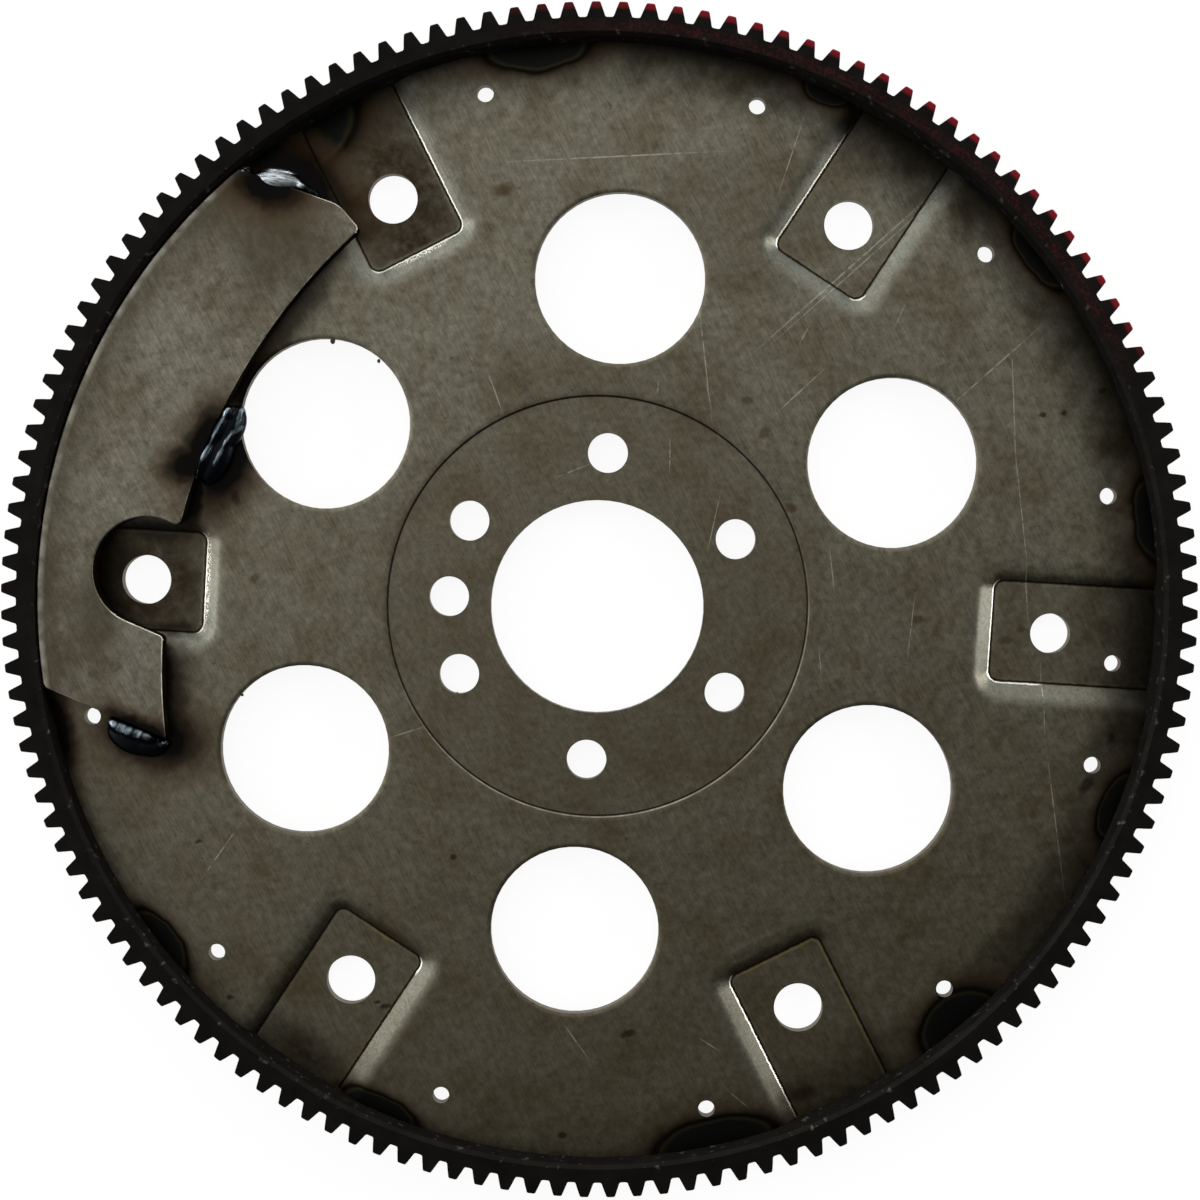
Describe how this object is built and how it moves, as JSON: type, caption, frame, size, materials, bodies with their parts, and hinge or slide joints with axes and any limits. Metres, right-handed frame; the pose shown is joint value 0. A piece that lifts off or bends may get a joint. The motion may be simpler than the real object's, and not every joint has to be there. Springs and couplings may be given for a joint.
{
  "type": "flexplate",
  "caption": "Round pressed steel flexplate with a toothed starter ring, drawn converter pads, lightening holes and a welded balance weight; joins a crankshaft to a torque converter.",
  "frame": {"origin": "centre of the pilot bore in the plane of the crank flange face", "axes": "+Z along the bore towards the engine, +X through the close converter hole, +Y completes the right-handed set"},
  "size_m": [0.354, 0.354, 0.0137],
  "materials": {
    "disc_steel": "bare cold-rolled sheet, worn and stained, with heat tint at the rim",
    "ring_steel": "black oxide, with traces of red marking paint",
    "weight_steel": "bare plate, sheared edges",
    "weld_bright": "bright rippled weld metal",
    "weld_dark": "dark rippled weld metal"
  },
  "bodies": {
    "root": {"flex_disc": "disc_steel", "ring_gear": "ring_steel", "balance_weight": "weight_steel", "weight_weld_upper": "weld_bright", "weight_weld_inner": "weld_dark", "weight_weld_lower": "weld_dark", "seam_weld_1": "weld_dark", "seam_weld_2": "weld_dark", "seam_weld_3": "weld_dark", "seam_weld_4": "weld_dark", "seam_weld_5": "weld_dark", "seam_weld_6": "weld_dark", "seam_weld_7": "weld_dark", "seam_weld_8": "weld_dark", "seam_weld_9": "weld_dark", "seam_weld_10": "weld_dark", "seam_weld_11": "weld_dark", "seam_weld_12": "weld_dark"}
  },
  "joints": []
}
